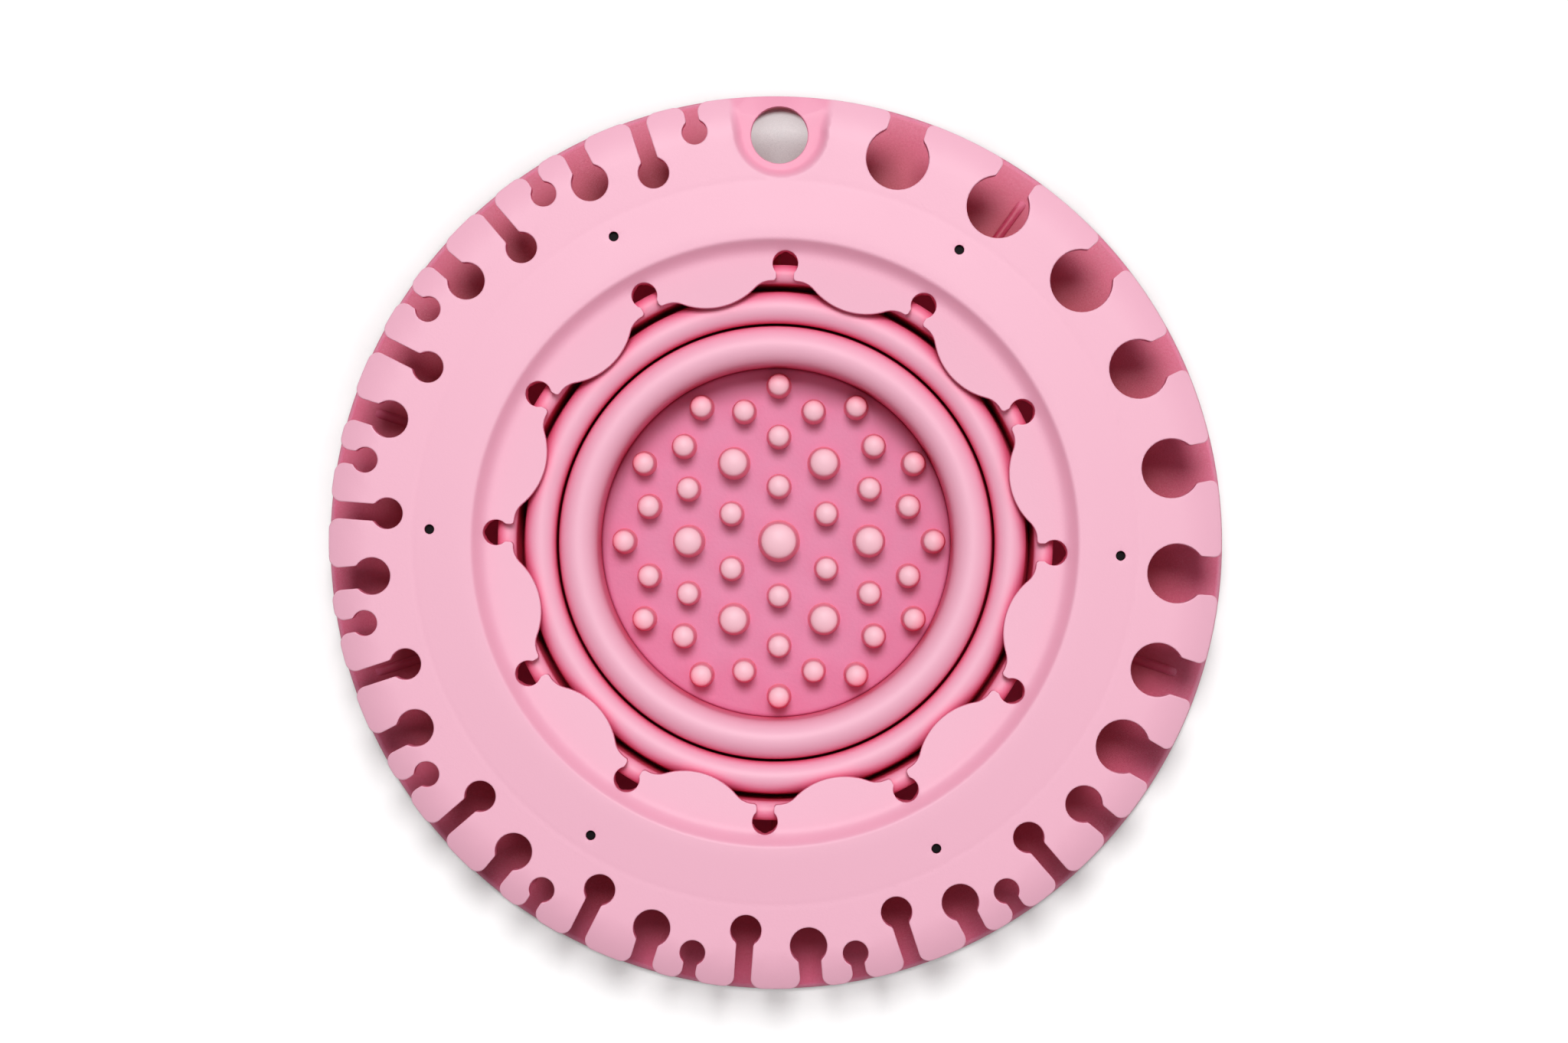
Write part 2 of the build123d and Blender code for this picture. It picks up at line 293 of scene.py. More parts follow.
pink = (0.95, 0.48, 0.62)
pink_dusty = (0.96, 0.51, 0.645)
# A paler pink for the nubs: painted light on their tips.
nub_pink_painted_light = (0.99, 0.58, 0.665)
# A darker, deeper pink for the pad: painted shade for the floor of the bowl.
pad_pink_painted_shade = (0.75, 0.29, 0.46)
pad_dusty_painted_shade = (0.81, 0.36, 0.54)
disc_pink = (0.93, 0.48, 0.63)
stiff_black = (0.012, 0.008, 0.010)
stiff_black_dusty = (0.02, 0.018, 0.02)
silicone = moulded_finish("pink_silicone", pink, pink_dusty)
scrub_silicone = moulded_finish(
    "scrub_silicone", pad_pink_painted_shade, pad_dusty_painted_shade, roughness=0.55, grain_scale=1500, grain_depth=0.00012,
    cloud_share=0.5, painted_shade_passes=0.5, closed_share=0.35
)
nub_silicone = moulded_finish("nub_silicone", nub_pink_painted_light, nub_pink_painted_light, painted_shade_passes=1.8, open_share=0.75)
# Painted shade: the disc's colour deepens and darkens under the rack.
disc_silicone = moulded_finish(
    "disc_silicone", disc_pink, pink_dusty, painted_shade_passes=4.8, closed_share=0.55, open_share=0.95,
    painted_shade_loss=0.45
)
stiffener_black = moulded_finish(
    "stiffener_black", stiff_black, stiff_black_dusty, roughness=0.6, grain_scale=1800,
    grain_depth=0.00003, painted_shade_passes=0.4
)
stiffener_black.node_tree.nodes["Principled BSDF"].inputs["Specular IOR Level"].default_value = 0.1
finishes = (silicone, scrub_silicone, nub_silicone, disc_silicone, stiffener_black)
print("finishes:", ", ".join(finish.name for finish in finishes))

# %% [markdown]
# ## From points to a piece
# Two kinds of moulding come next: flat ones cut to a plan, and ones turned on a lathe. Both end
# as closed meshes with outward faces. Their corners are real small roundings, and each normal is
# weighted by the area of the faces round it, so that flat faces stay flat up to the rounding. A
# Weighted Normal modifier does much the same, but would have to be applied to every piece.


# %% Turn a mesh into a finished piece
def weight_normals_by_area(mesh):
    """Give each vertex the mean normal of its faces, weighted by their areas."""
    mesh.polygons.foreach_set("use_smooth", [True] * len(mesh.polygons))
    total = np.zeros((len(mesh.vertices), 3))
    for polygon in mesh.polygons:
        total[list(polygon.vertices)] += np.array(polygon.normal) * polygon.area
    lengths = np.linalg.norm(total, axis=1, keepdims=True)
    lengths[lengths == 0] = 1
    mesh.normals_split_custom_set_from_vertices((total / lengths).tolist())


def linked_piece(name, mesh, body):
    """Link a mesh as a piece that rides on a body, or on none."""
    piece = bpy.data.objects.new(name, mesh)
    mesh.name = name
    bpy.context.scene.collection.objects.link(piece)
    weight_normals_by_area(mesh)
    if body:
        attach(piece, body)
    return piece


def finished_piece(name, points, faces, body, material):
    """Make a smooth closed mesh from points in millimetres, and ride it on a body."""
    mesh = bpy.data.meshes.new(name)
    mesh.from_pydata([tuple(point) for point in np.asarray(points) * MM], [], faces)
    mesh.update()
    mesh.materials.append(material)
    return linked_piece(name, mesh, body)


# %% [markdown]
# ## Outlines
# A flat moulding starts as its plan. An outline is a row of points, each with the direction that
# points into the material. Arcs know that direction exactly, so the rounded edge can be laid
# inside the outline with no ripple, however tight the keyhole is.


# %% Draw outlines from arcs and lines
def arc(centre, radius, start, end, material_inside, step):
    """Points and inward directions on an arc. Angles are in degrees."""
    count = max(2, ceil(abs(end - start) / step))
    angles = np.radians(np.linspace(start, end, count + 1))
    outward = np.column_stack([np.cos(angles), np.sin(angles)])
    points = np.asarray(centre) + radius * outward
    return points, (-outward if material_inside else outward)


def line(start, end, inward, spacing=0.7):
    """Points on a straight edge, all with one inward direction."""
    start, end = np.asarray(start, float), np.asarray(end, float)
    count = max(1, ceil(np.linalg.norm(end - start) / spacing))
    points = start + np.linspace(0, 1, count + 1)[:, None] * (end - start)
    return points, np.tile(np.asarray(inward, float), (count + 1, 1))


def joined(parts):
    """Join stretches end to end, dropping the point that each shares with the last."""
    points = np.vstack([parts[0][0]] + [part[0][1:] for part in parts[1:]])
    inward = np.vstack([parts[0][1]] + [part[1][1:] for part in parts[1:]])
    return points, inward


def with_mirror(half):
    """A half outline that ends on the X axis, and its mirror image from there on."""
    points, inward = half
    flip = np.array([1, -1])
    return np.vstack([points, points[-2::-1] * flip]), np.vstack([inward, inward[-2::-1] * flip])


def turned(outline, angle):
    """An outline turned about the origin by an angle in degrees."""
    turn = radians(angle)
    matrix = np.array([[cos(turn), sin(turn)], [-sin(turn), cos(turn)]])
    return outline[0] @ matrix, outline[1] @ matrix


def reversed_outline(outline):
    """The same outline, run the other way."""
    return outline[0][::-1], outline[1][::-1]


def direction(origin, target):
    """Angle in degrees of the direction from one point to another."""
    return np.degrees(atan2(target[1] - origin[1], target[0] - origin[0]))


def polar_point(radius, angle):
    """A point from its radius and its angle in degrees."""
    return (radius * cos(radians(angle)), radius * sin(radians(angle)))


def circle(centre, radius, material_inside, step=6):
    """A round outline with no doubled end point."""
    points, inward = arc(centre, radius, 0, 360, material_inside, step)
    return points[:-1], inward[:-1]


print("a circle at 6 degrees a step has", len(circle((0, 0), 1, True)[0]), "points")

# %% [markdown]
# ## Keyholes in the rim
# A keyhole in the rim is a round hole with a narrower slot that runs out to the edge. The slot
# keeps the handle in, so its throat and its mouth are both rounded for the handle to slip past.
# It could be drawn as a curve with handles, but then the hole would not be quite round. Here the
# half outline runs in from the rim, and the mirror gives the way back out. The rack has three
# rows of keyholes, for thin, medium and wide handles, and eight thick ones on the right.

# %% Draw a rim keyhole
# (first angle, inset from the rim, hole radius, slot width) of each evenly spaced row
thin_row = (101.1, 5.8, 2.5, 2.6)
medium_row = (108.2, 11.6, 3.05, 3.3)
wide_row = (117.25, 8.5, 3.65, 4.4)
row_count, row_pitch = 10, 22.5
# (angle, hole radius) of each thick keyhole
thick_holes = ((72.3, 6.2), (56.4, 6.2), (40.5, 6.2), (25.5, 5.85), (10.6, 5.85), (-4.4, 5.85),
               (-18.4, 5.3), (-30.4, 5.3))
thick_inset, thick_slot = 8.8, 7.5
row_mouth_round, thick_mouth_round, throat_round = 2.1, 1.5, 0.8


def rim_keyhole(inset, hole_radius, slot_width, mouth_round):
    """Outline of a keyhole along +X that opens through the rim."""
    half_slot = slot_width / 2
    hole = (rack_radius - inset, 0.0)
    offset = half_slot + mouth_round
    mouth = (sqrt((rack_radius - mouth_round) ** 2 - offset**2), -offset)
    offset = half_slot + throat_round
    throat = (hole[0] + sqrt((hole_radius + throat_round) ** 2 - offset**2), -offset)
    back = direction(throat, hole)
    return with_mirror(joined([
        arc(mouth, mouth_round, direction((0, 0), mouth), 90, True, step=12),
        line((mouth[0], -half_slot), (throat[0], -half_slot), (0, -1)),
        arc(throat, throat_round, 90, back, True, step=12),
        arc(hole, hole_radius, back - 180, -180, False, step=10),
    ]))


keyholes = []
for first_angle, inset, hole_radius, slot_width in (thin_row, medium_row, wide_row):
    for index in range(row_count):
        outline = rim_keyhole(inset, hole_radius, slot_width, row_mouth_round)
        keyholes.append(((first_angle + index * row_pitch) % 360, outline))
for angle, hole_radius in thick_holes:
    outline = rim_keyhole(thick_inset, hole_radius, thick_slot, thick_mouth_round)
    keyholes.append((angle % 360, outline))
keyholes.sort(key=lambda keyhole: keyhole[0])
print("rim keyholes:", len(keyholes))

# %% [markdown]
# ## Petals
# Inside the brim, twelve petals with small keyholes between them reach over the folds. One
# outline covers a keyhole and half a petal on each side of it, and is turned twelve times. A
# petal's tip is an arc about a centre far outside it, and a fillet joins it to the valley where
# the keyhole opens. A smooth curve through a few points would look alike, but with arcs of known
# circles all twelve petals and their keyholes come out round and even.

# %% Draw a petal keyhole
petal_count, petal_angle = 12, -2.1
petal = {
    "half_turn": 180 / petal_count, "lobe_centre": 61.2, "lobe_radius": 13.5, "valley": 51.65,
    "fillet": 4.6, "hole_centre": 55.05, "hole": 2.5, "slot": 3.4, "mouth_round": 0.7,
    "throat_round": 0.5,
}


def petal_period(sizes):
    """Outline of one petal keyhole along +X and half a petal on each side of it."""
    lobe_centre = polar_point(sizes["lobe_centre"], -sizes["half_turn"])
    valley, fillet = sizes["valley"], sizes["fillet"]
    fillet_reach, lobe_reach = valley - fillet, sizes["lobe_radius"] + fillet
    spread = (fillet_reach**2 + sizes["lobe_centre"] ** 2 - lobe_reach**2)
    spread = np.degrees(np.arccos(spread / (2 * fillet_reach * sizes["lobe_centre"])))
    fillet_angle = spread - sizes["half_turn"]
    fillet_centre = polar_point(fillet_reach, fillet_angle)
    half_slot, hole = sizes["slot"] / 2, (sizes["hole_centre"], 0.0)
    offset = half_slot + sizes["mouth_round"]
    mouth = (sqrt((valley + sizes["mouth_round"]) ** 2 - offset**2), -offset)
    offset = half_slot + sizes["throat_round"]
    throat = (hole[0] - sqrt((sizes["hole"] + sizes["throat_round"]) ** 2 - offset**2), -offset)
    lobe_end = direction(lobe_centre, fillet_centre) % 360
    mouth_angle = direction((0, 0), mouth)
    to_hole = direction(throat, hole)
    return with_mirror(joined([
        arc(lobe_centre, sizes["lobe_radius"], 180 - sizes["half_turn"], lobe_end, True, step=3),
        arc(fillet_centre, fillet, lobe_end - 180, fillet_angle, False, step=6),
        arc((0, 0), valley, fillet_angle, mouth_angle, False, step=1),
        arc(mouth, sizes["mouth_round"], 180 + mouth_angle, 90, True, step=15),
        line((mouth[0], -half_slot), (throat[0], -half_slot), (0, -1), spacing=0.5),
        arc(throat, sizes["throat_round"], 90, to_hole, True, step=15),
        arc(hole, sizes["hole"], to_hole - 180, 0, False, step=10),
    ]))


petal_tip = petal["lobe_centre"] - petal["lobe_radius"]
print(f"petals reach in to {petal_tip:.1f} mm, and their valleys lie at {petal['valley']} mm")

# %% [markdown]
# ## The rack's plan
# The rim's outline is one closed run: keyhole, arc of rim, next keyhole. It runs anticlockwise,
# and the outlines of the openings run clockwise, so that the material is always on the left and
# one rule serves all of them when the edges are rounded.

# %% Draw the rack's outlines
rim_step = 0.6    # degrees from point to point along the rim


def rim_outline():
    """The rack's outer outline, anticlockwise, with every keyhole in its place."""
    points, inward = [], []
    for number, (angle, outline) in enumerate(keyholes):
        plan, normals = turned(outline, angle)
        after, next_outline = keyholes[(number + 1) % len(keyholes)]
        start = angle + direction((0, 0), outline[0][-1])
        end = after + direction((0, 0), next_outline[0][0])
        end += 360 if end < start else 0
        rim, rim_inward = arc((0, 0), rack_radius, start, end, True, rim_step)
        points += [plan, rim[1:-1]]
        inward += [normals, rim_inward[1:-1]]
    return np.vstack(points), np.vstack(inward)


def petal_outline():
    """The outline of the opening inside the petals, run clockwise."""
    one = petal_period(petal)
    turns = [turned(one, petal_angle + 360 / petal_count * k) for k in range(petal_count)]
    whole = np.vstack([t[0][:-1] for t in turns]), np.vstack([t[1][:-1] for t in turns])
    return reversed_outline(whole)


hanging_hole_at, hanging_hole_radius = (0.85, rack_radius - 7.8), 5.6
rim = rim_outline()
petals = petal_outline()
hanging_hole = reversed_outline(circle(hanging_hole_at, hanging_hole_radius, False))
print(f"rim outline {len(rim[0])} points, petals {len(petals[0])} points")

# %% [markdown]
# ## A flat moulding
# A plan becomes a solid in three parts: a top and a bottom face that follow a height given by a
# formula, and a rounded edge that runs down along every outline. Booleans could cut the keyholes
# out of a disc, but their long thin faces shade badly, and a bevel can't follow such tight
# corners. A Delaunay triangulation fills the plan between the outlines, and extra points are
# given only where the face bends. It also fills the openings, so each triangle is tested first.


# %% Find what lies between the outlines
def inside(loops, places):
    """Which places lie in the material: an odd number of outlines lies to their right."""
    crossings = np.zeros(len(places), int)
    for loop in loops:
        ahead = np.roll(loop, -1, axis=0)
        low, high = np.minimum(loop[:, 1], ahead[:, 1]), np.maximum(loop[:, 1], ahead[:, 1])
        for (x0, y0), (x1, y1), bottom, top in zip(loop, ahead, low, high):
            if bottom == top:
                continue
            level = (places[:, 1] >= bottom) & (places[:, 1] < top)
            cross_x = x0 + (places[level, 1] - y0) * (x1 - x0) / (y1 - y0)
            crossings[level] += places[level, 0] < cross_x
    return crossings % 2 == 1


def clear_of(loops, places, gap=0.25):
    """Which places lie in the material, at least a small gap from every outline."""
    tree = KDTree(sum(len(loop) for loop in loops))
    for number, (x, y) in enumerate(np.vstack(loops)):
        tree.insert((x, y, 0), number)
    tree.balance()
    far = np.array([tree.find((x, y, 0))[2] > gap for x, y in places])
    return far & inside(loops, places)


hole_middle, brim_place = hanging_hole_at, (75.0, 0.0)
found = inside([rim[0], hanging_hole[0]], np.array([hole_middle, brim_place]))
print("the hanging hole's middle and a place on the brim are in the material:", found)

# %% [markdown]
# The points and faces are gathered in plain lists, row by row. A bmesh could hold them too, but
# in a list each row keeps its numbers, so two rows are joined by counting along them.

# %% Build a flat moulding from outlines and two height formulas
edge_steps = 4       # facets of a rounded edge
same_point = 1e-7    # points nearer than this, in millimetres, are one


class Moulding:
    """Points and faces of one closed moulding, gathered before they become a mesh."""

    def __init__(self):
        self.points = []
        self.faces = []

    def row(self, plan, heights):
        """Add one row of points, and return their numbers."""
        first = len(self.points)
        self.points.extend(np.column_stack([plan, heights]).tolist())
        return list(range(first, len(self.points)))

    def strip(self, lower, upper):
        """Join two closed rows by a band. It faces right of the way the rows run."""
        count = len(upper)
        for i in range(count):
            j = (i + 1) % count
            self.faces.append((lower[i], lower[j], upper[j], upper[i]))

    def sheet(self, rows, faces_up, inner_plan=(), height=None):
        """Fill the plan between closed rows, with extra points at inner_plan."""
        loops = [np.array([self.points[i][:2] for i in row]) for row in rows]
        numbers, plans = sum(rows, []), list(loops)
        if len(inner_plan):
            kept = inner_plan[clear_of(loops, inner_plan)]
            numbers += self.row(kept, height(kept))
            plans.append(kept)
        plan = np.vstack(plans)
        edges, first = [], 0
        for loop in loops:
            size = len(loop)
            edges += [(first + i, first + (i + 1) % size) for i in range(size)]
            first += size
        _, _, triangles, sources, _, _ = delaunay_2d_cdt(
            [Vector(point) for point in plan], edges, [], 0, same_point
        )
        triangles = np.array([[sources[i][0] for i in triangle] for triangle in triangles])
        middles = plan[triangles].mean(axis=1)
        for triangle in triangles[inside(loops, middles)]:
            face = tuple(numbers[i] for i in triangle)
            self.faces.append(face if faces_up else face[::-1])


def rounded_edge(moulding, outline, top, bottom, top_round, bottom_round):
    """Lay the rounded edge of one outline. Returns its rows at the top and the bottom face."""
    plan, inward = outline
    rows = []
    for angle in np.radians(np.linspace(90, 0, edge_steps + 1)):
        at = plan + inward * top_round * (1 - cos(angle))
        rows.append(moulding.row(at, top(at) - top_round * (1 - sin(angle))))
    for angle in np.radians(np.linspace(0, 90, edge_steps + 1)):
        at = plan + inward * bottom_round * (1 - cos(angle))
        rows.append(moulding.row(at, bottom(at) + bottom_round * (1 - sin(angle))))
    for upper, lower in zip(rows, rows[1:]):
        moulding.strip(lower, upper)
    return rows[0], rows[-1]


def ring_points(radii, count):
    """Points on rings round the origin, each ring half a step on from the last."""
    rings = []
    for number, radius in enumerate(radii):
        angles = (np.arange(count) + 0.5 * (number % 2)) * 2 * pi / count
        rings.append(np.column_stack([radius * np.cos(angles), radius * np.sin(angles)]))
    return np.vstack(rings)


print("rows of points in a rounded edge:", 2 * (edge_steps + 1))

# %% [markdown]
# ## The rack's faces
# Seen from above the rack is a shallow dish. Its tabs thin out and droop at the rim. Its brim
# rises a little towards a crest and falls in a soft cove to the petals, and bends at a faint
# circle, where the rigid ring inside it ends. Heights like these could be modelled by hand on a
# grid, but a formula of the radius keeps them exact all the way round.
#
# The tab at the top is sunk, so that the ring of a hook lies flush. Its wall falls with the
# square of the distance from the tab's U shape, so it is steep at the edge and runs out softly
# into the floor. The floor itself follows the drooping rim.

# %% Give the rack's faces their heights
petal_top_z, petal_bottom_z, brim_bottom_z = rack_top_z - 3.0, rack_top_z - 5.0, rack_top_z - 4.0
petal_tip_radius, petal_tilt = 48.0, 0.079
slope_foot, slope_top = 56.8, 59.8
cove_curve, corner_blend = 1.6, 0.25
crest_radius, crest_round, crest_run = 59.6, 0.12, 3.0
bend_radius, bend_dent, bend_width = stiffener_outer + 0.9, 0.05, 0.3
brim_fall = 0.5
droop_start, rim_droop = 80.0, 2.3
tab_round_y, tab_round, tab_spread, tab_aside = rack_radius - 6.9, 9.3, 1.5, 1.1
tab_floor_z, tab_least_depth, tab_floor_blend = brim_bottom_z + 2.0, 0.3, 0.3
tab_wall_run, tab_wall_blend = 1.8, 0.15
locating_inner = outer_roll_outer + 0.5
locating_outer = locating_inner + 1.4
wall_draft = 0.2


def smoothstep(value):
    """0 below 0, 1 above 1, and a soft S between them."""
    value = np.clip(value, 0, 1)
    return value * value * (3 - 2 * value)


def smooth_min(a, b, blend):
    """The smaller of two heights, with the corner between them rounded."""
    share = np.clip(0.5 + 0.5 * (b - a) / blend, 0, 1)
    return b * (1 - share) + a * share - blend * share * (1 - share)


def tab_distance(plan):
    """How far a place lies outside the U of the sunk tab. Negative inside it."""
    x, y = plan[:, 0] - tab_aside, plan[:, 1]
    half_width = tab_round + tab_spread * (y - tab_round_y) / (rack_radius - tab_round_y)
    beside = np.abs(x) - half_width
    below = np.hypot(x, y - tab_round_y) - tab_round
    return np.where(y > tab_round_y, beside, below)


def brim_height(radius):
    """The brim alone: its crest, its slow fall, the dent where it bends, and the droop."""
    fall = np.clip((radius - slope_top) / (bend_radius - slope_top), 0, 1)
    dent = np.exp(-(((radius - bend_radius) / bend_width) ** 2))
    droop = np.clip((radius - droop_start) / (rack_radius - droop_start), 0, 2) ** 2
    crest = np.clip((slope_top + crest_run - radius) / crest_run, 0, 2) ** 2
    return rack_top_z - brim_fall * fall - bend_dent * dent - rim_droop * droop - crest_round * crest


def rack_top(plan):
    """Height of the rack's upper face."""
    radius = np.hypot(plan[:, 0], plan[:, 1])
    petal_z = petal_top_z + petal_tilt * (np.minimum(radius, slope_foot) - petal_tip_radius)
    cove_share = np.clip((radius - slope_foot) / (crest_radius - slope_foot), 0, 2)
    cove = petal_z + (rack_top_z - crest_round - petal_z) * cove_share ** cove_curve
    face = smooth_min(brim_height(radius), cove, corner_blend)
    wall = np.clip(1 + tab_distance(plan) / tab_wall_run, 0, 2) ** 2
    wall = smooth_min(wall, np.ones(len(plan)), tab_wall_blend)
    level_floor = np.full(len(plan), tab_floor_z)
    tab_floor = smooth_min(level_floor, face - tab_least_depth, tab_floor_blend)
    return np.where(radius > bend_radius, tab_floor + (face - tab_floor) * wall, face)


def rack_bottom(plan):
    """Height of the rack's lower face, with the rib that finds the bowl's rim."""
    radius = np.hypot(plan[:, 0], plan[:, 1])
    rise = np.clip((radius - locating_outer) / (slope_top - locating_outer), 0, 1)
    plain = petal_bottom_z + (brim_bottom_z - petal_bottom_z) * rise
    inner = smoothstep((radius - locating_inner + wall_draft) / wall_draft)
    outer = smoothstep((locating_outer + wall_draft - radius) / wall_draft)
    return plain + (rack_low_z - plain) * inner * outer


sample_plan = np.array([(50.0, 0), (62.0, 0), (75.0, 0), (rack_radius, 0)])
print("top face at 50, 62, 75 mm and the rim:", rack_top(sample_plan).round(2), "mm")

# %% [markdown]
# ## The rack, built
# Six pins held the stiff ring while the rubber flowed round it. They left small round holes in
# the brim, and through them the black ring shows. Dark dots in the finish would look alike from
# afar, but real holes have an edge that catches the light. The ring's sealed space is modelled
# too, as a ring-shaped hollow whose roof has the same six holes.

# %% Make room for the stiff ring
stiffener_inner = slope_top + 1.1
pinhole_count, pinhole_circle, pinhole_first_angle = 6, 67.9, 57.8
pinhole_radius, pinhole_lip = 0.95, 0.12


def pinhole(moulding, centre):
    """A small blind hole. Returns its rows at the brim and at the stiff ring."""
    plan, inward = circle(centre, pinhole_radius, False, step=20)
    outer = plan + inward * pinhole_lip
    mouth = moulding.row(outer, rack_top(outer))
    brow = moulding.row(plan, rack_top(plan) - pinhole_lip)
    foot = moulding.row(plan, np.full(len(plan), stiffener_top_z))
    moulding.strip(mouth, brow)
    moulding.strip(brow, foot)
    return mouth, foot


def stiffener_space(moulding, pinhole_rows):
    """The hollow round the stiff ring. Its roof meets the feet of the six pinholes."""
    radii = (stiffener_inner, stiffener_outer)
    rings = [circle((0, 0), radius, True, step=3)[0] for radius in radii]
    roof = [moulding.row(ring, np.full(len(ring), stiffener_top_z)) for ring in rings]
    floor = [moulding.row(ring, np.full(len(ring), stiffener_low_z)) for ring in rings]
    moulding.sheet(roof + pinhole_rows, faces_up=False)
    moulding.strip(floor[1], floor[0])
    moulding.strip(floor[0], roof[0])
    moulding.strip(roof[1], floor[1])


print(f"the stiff ring's space reaches from {stiffener_inner:.1f} to {stiffener_outer:.1f} mm")

# %% [markdown]
# The faces need points of their own only where they bend: close rings on the cove and at the
# faint circle, wider ones on the brim, and a fine grid on the wall of the sunk tab. The sunk tab
# and the cove get a share of "painted_deepening", which paints shade into their colour.

# %% Build the rack
rim_rounds, petal_rounds = (0.25, 0.4), (0.2, 0.3)   # of the upper and the lower edge
slope_radii = [56.0, 56.6, 57.0, 57.4, 57.8, 58.2, 58.6, 58.9, 59.2, 59.4, 59.6, 59.8, 60.0,
               60.3, 60.8, 61.4]
bend_radii = [62.5, 65, 68, 70, 70.6, 70.9, 71.2, 71.5, 71.8, 72.4]
droop_radii = [74, 77, 80, 81.5, 83, 84.3, 85.5, 86.6]
under_radii = [65, 70, 76, 82]
locating_margin, slope_margin = 0.3, 0.5     # from a bend to the next ring of points
tab_left, tab_right, tab_reach, tab_grid = -12, 13.7, 17, 0.4
tab_band_middle, tab_band_half, tab_clearance = -0.8, 1.4, 1.0
# Painted shade in the sunk tab and along the cove.
tab_painted_deepening, cove_painted_deepening, cove_band = 0.4, 0.12, 1.3


def tab_points():
    """Extra points over the wall of the sunk tab, where the face bends both ways."""
    x, y = np.meshgrid(np.arange(tab_left, tab_right, tab_grid),
                       np.arange(rack_radius - tab_reach, rack_radius, tab_grid))
    places = np.column_stack([x.ravel(), y.ravel()])
    return places[np.abs(tab_distance(places) - tab_band_middle) < tab_band_half]


def rack_painted_deepening(plan):
    """How much painted shade deepens the colour: in the sunk tab and along the cove."""
    radius = np.hypot(*plan.T)
    in_tab = smoothstep(-tab_distance(plan) / tab_wall_run) * (radius > bend_radius)
    in_cove = np.exp(-(((radius - (slope_foot + crest_radius) / 2) / cove_band) ** 2))
    return tab_painted_deepening * in_tab + cove_painted_deepening * in_cove


def build_rack():
    """The whole rack as one closed moulding."""
    rack = Moulding()
    edges = [
        rounded_edge(rack, rim, rack_top, rack_bottom, *rim_rounds),
        rounded_edge(rack, petals, rack_top, rack_bottom, *petal_rounds),
        rounded_edge(rack, hanging_hole, rack_top, rack_bottom, *rim_rounds),
    ]
    pin_angles = [pinhole_first_angle + 360 / pinhole_count * k for k in range(pinhole_count)]
    pinholes = [pinhole(rack, polar_point(pinhole_circle, angle)) for angle in pin_angles]
    brim_points = np.vstack([ring_points(slope_radii, 300), ring_points(bend_radii, 240),
                             ring_points(droop_radii, 160)])
    brim_points = brim_points[tab_distance(brim_points) > tab_clearance]
    upper = np.vstack([brim_points, tab_points()])
    rack.sheet([top for top, _ in edges] + [mouth for mouth, _ in pinholes], True, upper, rack_top)
    rib_radii = [locating_inner - wall_draft - locating_margin, locating_inner - wall_draft,
                 locating_inner - wall_draft / 2, locating_inner, locating_inner + locating_margin,
                 locating_outer - locating_margin, locating_outer,
                 locating_outer + wall_draft / 2, locating_outer + wall_draft,
                 locating_outer + slope_margin, slope_top, slope_top + slope_margin]
    lower = np.vstack([ring_points(rib_radii, 240), ring_points(under_radii, 120)])
    rack.sheet([bottom for _, bottom in edges], False, lower, rack_bottom)
    stiffener_space(rack, [foot for _, foot in pinholes])
    piece = finished_piece("rack", rack.points, rack.faces, "rack", silicone)
    # The rack's painted shade, for the finish to read.
    painted_deepening = piece.data.attributes.new("painted_deepening", "FLOAT", "POINT")
    painted_deepening.data.foreach_set("value", rack_painted_deepening(np.array(rack.points)[:, :2]))
    return piece


rack = build_rack()
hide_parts("rack_plate")
print("rack:", len(rack.data.polygons), "faces")

# %% [markdown]
# ## The folds, turned on a lathe
# The bowl's folds are rings of one section all the way round, as a lathe makes them. A Geometry
# Nodes tree is that lathe: it sweeps a section round a circle, welds the poles and gives the
# finish. Spin would do the same, but the tree keeps its number of steps as a named input and is
# used again for the floor. The result is taken as a plain mesh, so nothing is left to evaluate.

# %% Build the lathe as a Geometry Nodes tree
lathe_radius = 0.1


def lathe_tree():
    """Sweep a section round the Z axis. The section lies in XY, with X outwards and Y down."""
    tree = bpy.data.node_groups.new("lathe", "GeometryNodeTree")
    group_socket(tree, "Section", "Geometry")
    group_socket(tree, "Steps", "Int", 160)
    group_socket(tree, "Weld distance", "Float", 0.00001)
    group_socket(tree, "Finish", "Material")
    group_socket(tree, "Piece", "Geometry", output=True)
    node, link = tree.nodes.new, tree.links.new
    given, result = node("NodeGroupInput"), node("NodeGroupOutput")
    section = node("GeometryNodeMeshToCurve")
    path = node("GeometryNodeCurvePrimitiveCircle")
    path.inputs["Radius"].default_value = lathe_radius
    sweep = node("GeometryNodeCurveToMesh")
    weld = node("GeometryNodeMergeByDistance")
    realize = node("GeometryNodeRealizeInstances")
    finish = node("GeometryNodeSetMaterial")
    link(given.outputs["Section"], section.inputs["Mesh"])
    link(given.outputs["Steps"], path.inputs["Resolution"])
    link(path.outputs["Curve"], sweep.inputs["Curve"])
    link(section.outputs["Curve"], sweep.inputs["Profile Curve"])
    link(sweep.outputs["Mesh"], weld.inputs["Geometry"])
    link(given.outputs["Weld distance"], weld.inputs["Distance"])
    link(weld.outputs["Geometry"], realize.inputs["Geometry"])
    link(realize.outputs["Geometry"], finish.inputs["Geometry"])
    link(given.outputs["Finish"], finish.inputs["Material"])
    link(finish.outputs["Geometry"], result.inputs["Piece"])
    return tree


lathe = lathe_tree()
print("lathe inputs:", input_names(lathe))

# %% [markdown]
# A tree needs an object to work on. A short-lived carrier holds the section, the evaluated
# result is copied into a plain mesh, and the carrier goes. Its modifier could be applied
# instead, but a copy of the result needs no selection and no active object.


